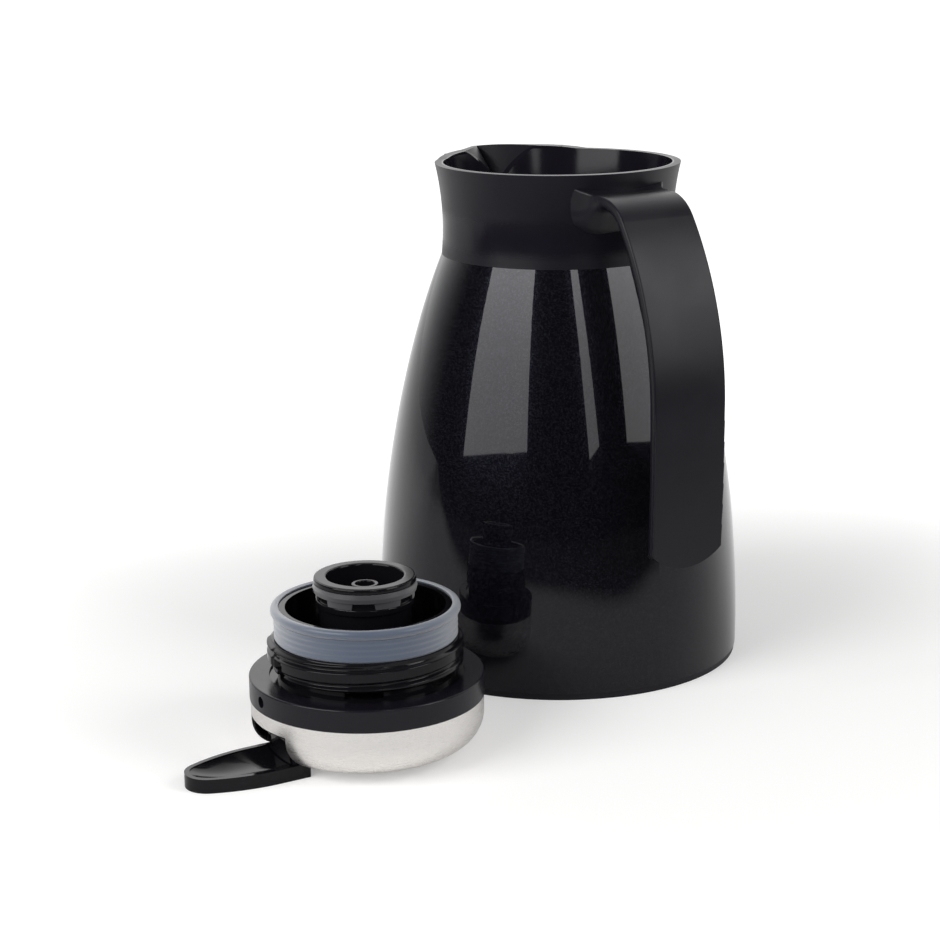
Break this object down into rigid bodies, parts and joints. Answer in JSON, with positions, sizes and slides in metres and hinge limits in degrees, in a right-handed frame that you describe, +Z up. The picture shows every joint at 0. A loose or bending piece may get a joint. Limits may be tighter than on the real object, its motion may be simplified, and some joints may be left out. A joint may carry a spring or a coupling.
{
  "type": "thermal jug",
  "caption": "Insulated pouring jug with a painted steel body, black collar, spout and open-ended handle, and its steel-capped lever stopper lying upside down beside it.",
  "frame": {"origin": "centre of the jug's foot, on the table", "axes": "+Z up along the jug's axis, +X towards the handle, the spout towards -X; the stopper lies at +X -Y and its lever points along -Y"},
  "size_m": [0.1866, 0.2777, 0.206],
  "materials": {
    "body_paint": "gloss blue-black with a fine metallic flake",
    "black_satin": "satin",
    "black_gloss": "gloss",
    "cap_steel": "brushed",
    "inner_steel": "bright",
    "liner_glass": "silvered",
    "seal_silicone": "translucent bluish white",
    "valve_silicone": "translucent grey",
    "black_rubber": "matte"
  },
  "bodies": {
    "jug": {"body_shell": "body_paint", "base_ring": "black_satin", "base_cap": "black_satin", "base_cushion": "black_rubber", "liner_outer_jacket": "liner_glass", "liner_inner_flask": "liner_glass", "neck_gasket": "black_rubber", "neck_insert": "black_gloss", "collar": "black_satin", "handle": "black_satin"},
    "stopper": {"steel_cap": "cap_steel", "cap_ring": "black_satin", "cap_carrier": "black_gloss", "stopper_cup": "black_gloss", "main_seal": "seal_silicone", "lever_pin": "inner_steel", "stem_seal": "black_rubber"},
    "lever": {"lever": "black_gloss"},
    "valve": {"valve_stem": "inner_steel", "stem_retainer": "inner_steel", "valve_plunger": "black_gloss", "valve_seal": "valve_silicone", "valve_spring": "inner_steel"}
  },
  "joints": [
    {"name": "stopper_lift", "type": "slide", "parent": "jug", "child": "stopper", "axis": [0, 0, 1], "range_m": [0, 0.15]},
    {"name": "lever_press", "type": "hinge", "parent": "stopper", "child": "lever", "pos_m": [0.0675, -0.1623, 0.0124], "axis": [-1, 0, 0], "range_deg": [0, 8.5]},
    {"name": "valve_lift", "type": "slide", "parent": "stopper", "child": "valve", "axis": [0, 0, -1], "range_m": [0, 0.005], "stiffness_N_per_m": 400, "springref_m": -0.004, "deforming": ["valve_spring"]}
  ],
  "couplings": [
    {"joint": "lever_press", "follows": "valve_lift", "rad_per_m": 29.41}
  ]
}
